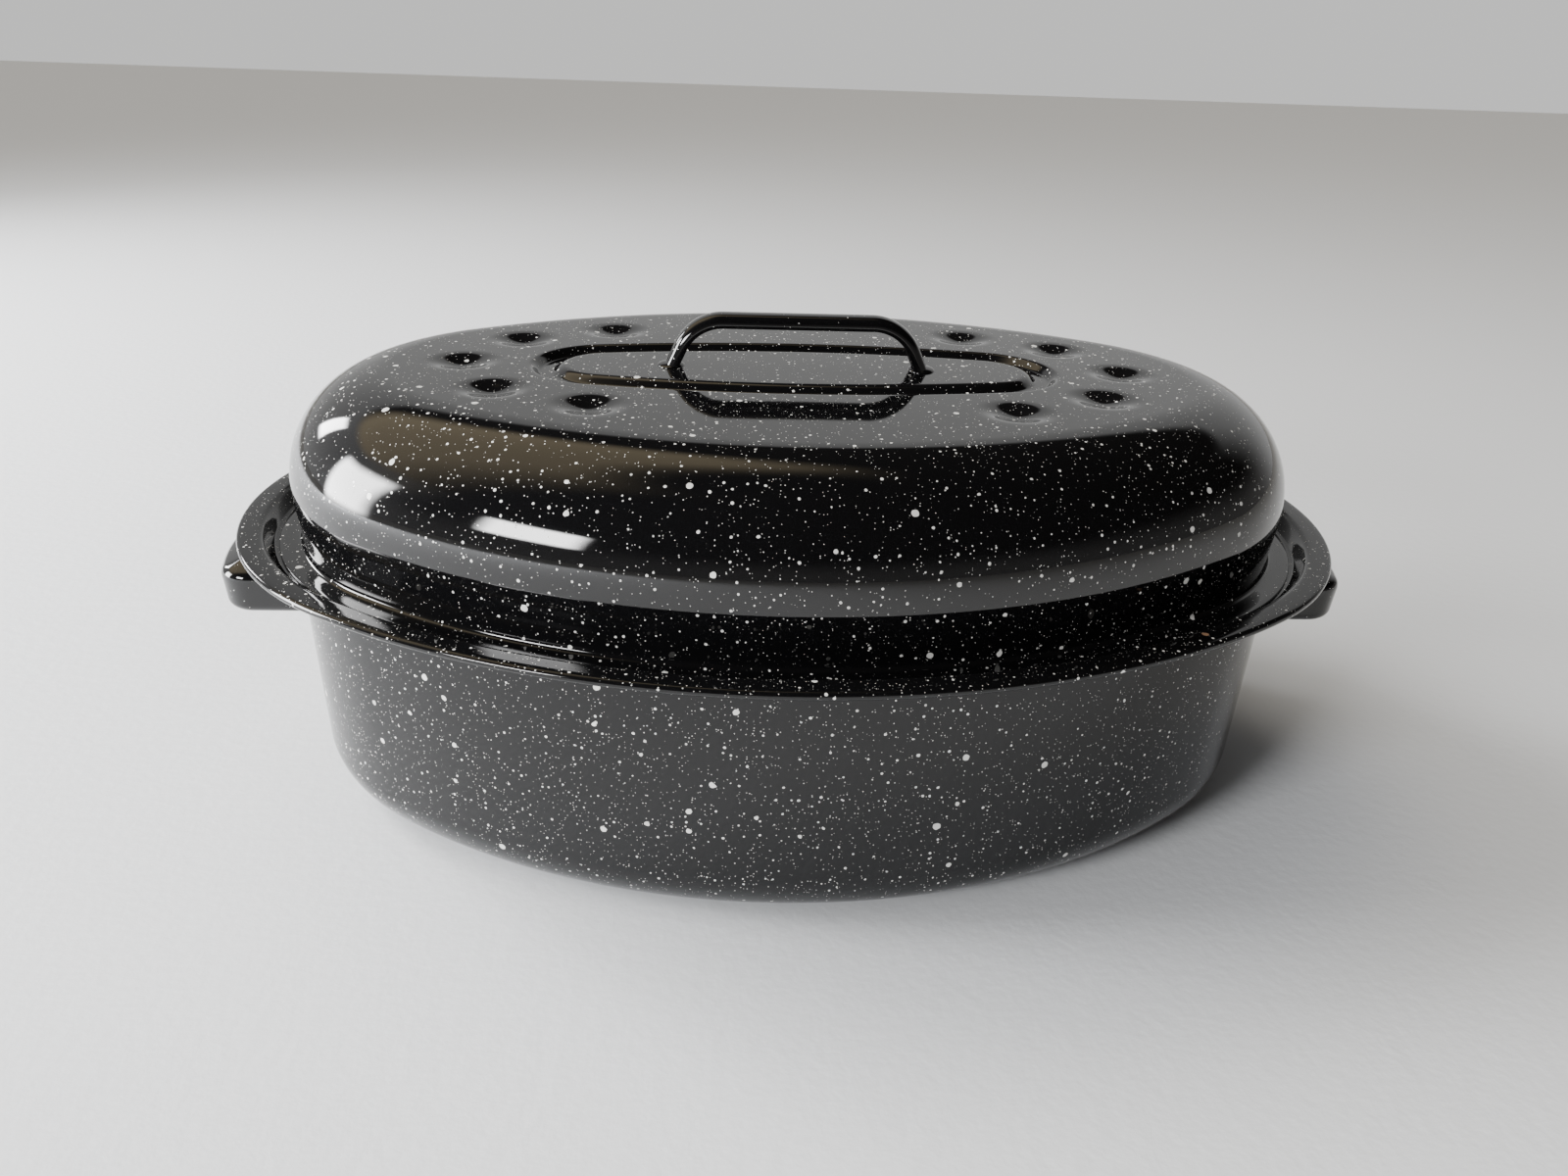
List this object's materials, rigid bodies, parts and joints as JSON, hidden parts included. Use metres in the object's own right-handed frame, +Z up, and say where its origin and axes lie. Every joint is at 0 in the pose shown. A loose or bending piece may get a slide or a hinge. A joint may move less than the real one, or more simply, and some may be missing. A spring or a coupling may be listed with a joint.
{
  "type": "covered oval roaster",
  "caption": "Oval enamelled steel roaster with a domed lift-off lid, a strap handle on the lid, end handles under the rim and a lift-out wire rack.",
  "frame": {"origin": "middle of the pan's flat underside, on the surface it stands on", "axes": "+Z up, X along the oval through the two end handles, Y across it"},
  "size_m": [0.4766, 0.324, 0.1985],
  "materials": {
    "pan_enamel": "glossy black porcelain enamel with dense fine white speckles, fired on steel sheet",
    "lid_enamel": "glossy black porcelain enamel with round white speckles, fired on steel sheet",
    "handle_enamel": "glossy black porcelain enamel with a few white speckles",
    "rack_wire": "bright nickel-plated steel wire"
  },
  "bodies": {
    "pan": {"pan_shell": "pan_enamel", "end_handle_left": "handle_enamel", "end_handle_right": "handle_enamel"},
    "lid": {"lid_shell": "lid_enamel", "lid_handle": "handle_enamel"},
    "rack": {"rack_ring": "rack_wire", "rack_rail_front": "rack_wire", "rack_rail_back": "rack_wire", "rack_cross_wire_01": "rack_wire", "rack_cross_wire_02": "rack_wire", "rack_cross_wire_03": "rack_wire", "rack_cross_wire_04": "rack_wire", "rack_cross_wire_05": "rack_wire", "rack_cross_wire_06": "rack_wire", "rack_cross_wire_07": "rack_wire", "rack_cross_wire_08": "rack_wire", "rack_cross_wire_09": "rack_wire", "rack_cross_wire_10": "rack_wire", "rack_cross_wire_11": "rack_wire", "rack_leg_front_left": "rack_wire", "rack_leg_front_right": "rack_wire", "rack_leg_back_left": "rack_wire", "rack_leg_back_right": "rack_wire", "rack_lift_loop_left": "rack_wire", "rack_lift_loop_right": "rack_wire"}
  },
  "joints": [
    {"name": "lid_lift", "type": "slide", "parent": "pan", "child": "lid", "axis": [0, 0, 1], "range_m": [0, 0.25]},
    {"name": "rack_lift", "type": "slide", "parent": "pan", "child": "rack", "axis": [0, 0, 1], "range_m": [0, 0.12]}
  ]
}
